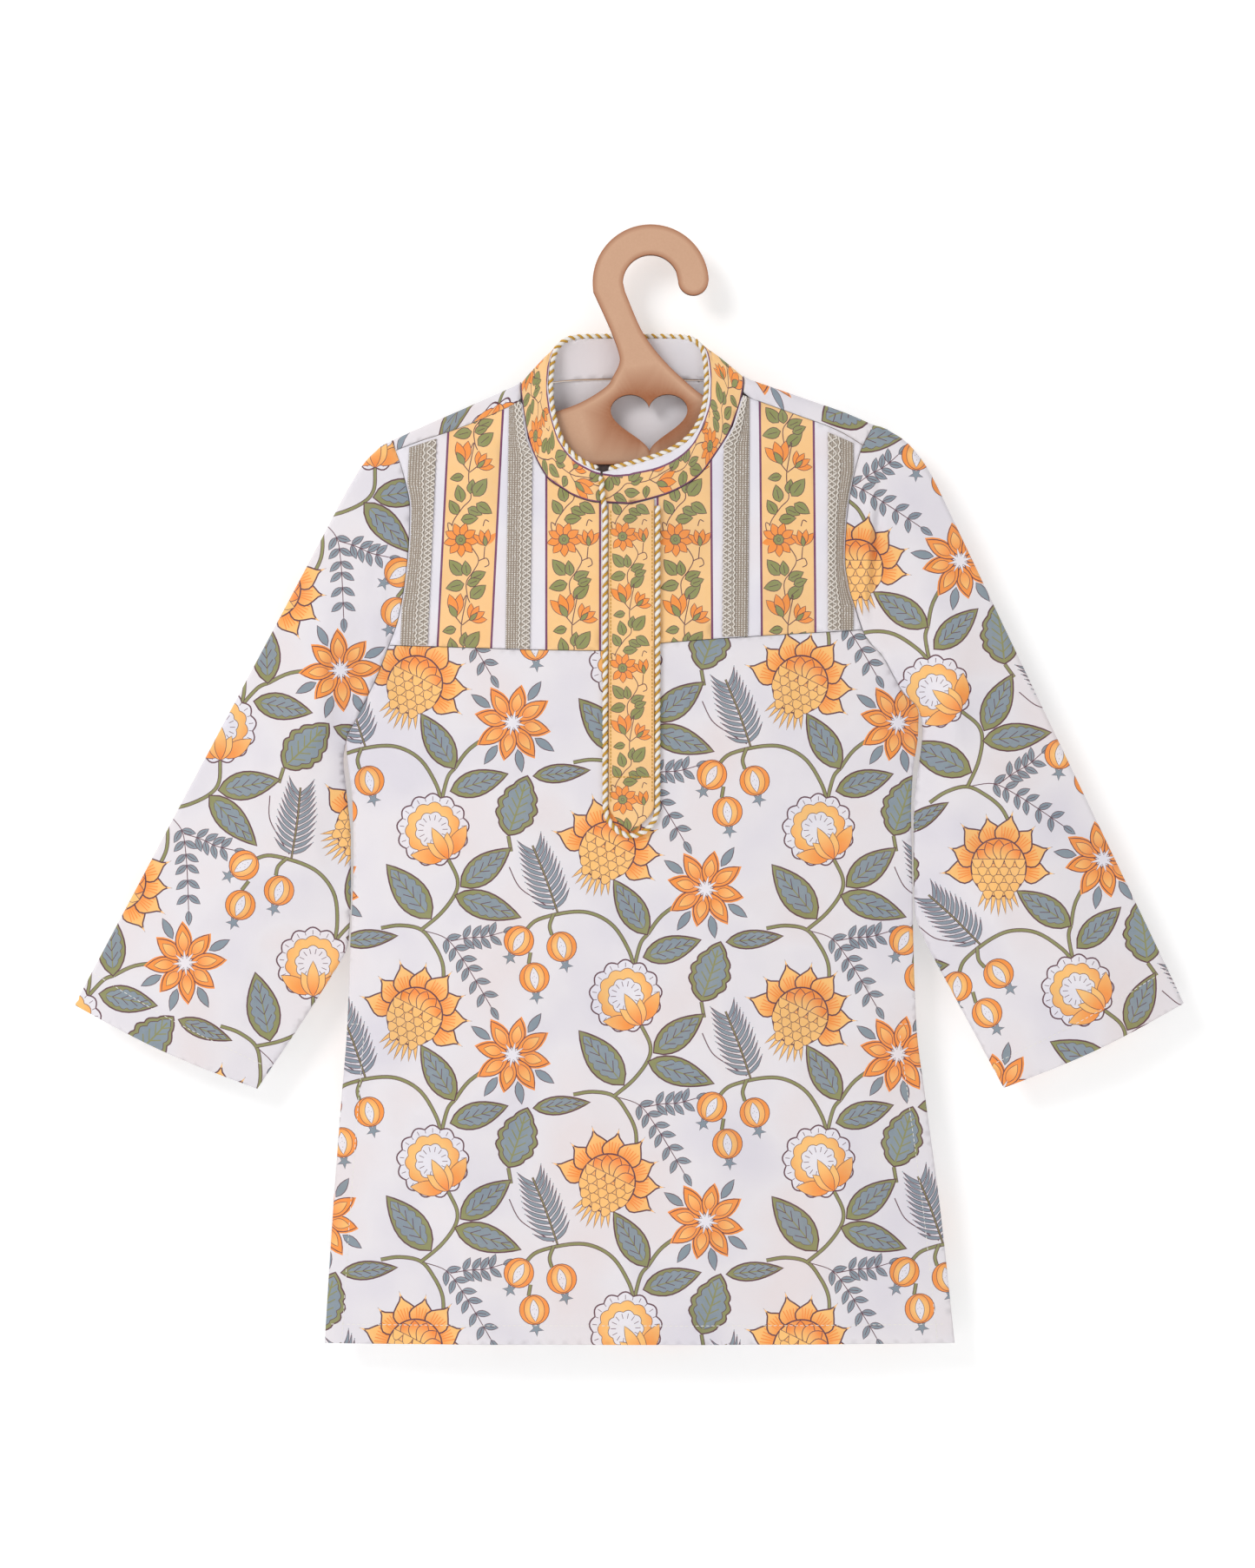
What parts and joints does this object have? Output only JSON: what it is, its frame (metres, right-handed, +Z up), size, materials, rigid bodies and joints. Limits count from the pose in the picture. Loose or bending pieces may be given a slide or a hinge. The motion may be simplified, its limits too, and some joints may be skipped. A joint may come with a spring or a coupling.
{
  "type": "child's kurta on a hanger",
  "caption": "Child's long-sleeved cotton kurta with a stand collar, panelled yoke, woven lace strips, a corded placket and side slits, hung flat on its flat plate hanger.",
  "frame": {"origin": "top of the inside of the hanger's hook, where it rests on a peg", "axes": "+Z up from hem to hook, the wearer's front towards -Y, the wearer's left arm towards +X"},
  "size_m": [0.6405, 0.0283, 0.6455],
  "materials": {
    "printed_cotton": "matt block-printed cotton",
    "border_cotton": "matt block-printed cotton border",
    "woven_lace": "woven metallic lace",
    "twisted_cord": "twisted cord",
    "fibre_board": "bare fibreboard with scorched edges"
  },
  "bodies": {
    "root": {"hanger": "fibre_board", "front_panel": "printed_cotton", "yoke_left": "border_cotton", "yoke_right": "border_cotton", "back_panel": "printed_cotton", "sleeve_left": "printed_cotton", "sleeve_right": "printed_cotton", "collar": "border_cotton", "collar_lining": "printed_cotton", "placket": "border_cotton", "lace_1": "woven_lace", "lace_2": "woven_lace", "lace_3": "woven_lace", "lace_4": "woven_lace", "collar_cord": "twisted_cord", "placket_cord": "twisted_cord"}
  },
  "joints": []
}
